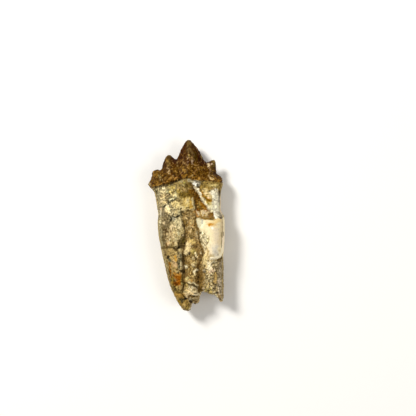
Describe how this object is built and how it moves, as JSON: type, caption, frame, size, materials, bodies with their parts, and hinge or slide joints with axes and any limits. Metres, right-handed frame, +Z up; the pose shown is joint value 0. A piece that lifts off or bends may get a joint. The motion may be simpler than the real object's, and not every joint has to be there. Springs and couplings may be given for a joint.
{
  "type": "fossil whale tooth",
  "caption": "Fossil cheek tooth of an early whale: a serrated brown enamel crown over long joined roots, cracked and broken off at their ends.",
  "frame": {"origin": "on the surface that the tooth lies on, under the middle of its outline", "axes": "+Y along the tooth towards the tip of its crown, +Z up through its thickness, +X across it towards the broken right root"},
  "size_m": [0.0384, 0.0856, 0.0168],
  "materials": {
    "fossil": "mineralised enamel and root, dull with glossy patches"
  },
  "bodies": {
    "root": {"tooth": "fossil"}
  },
  "joints": []
}
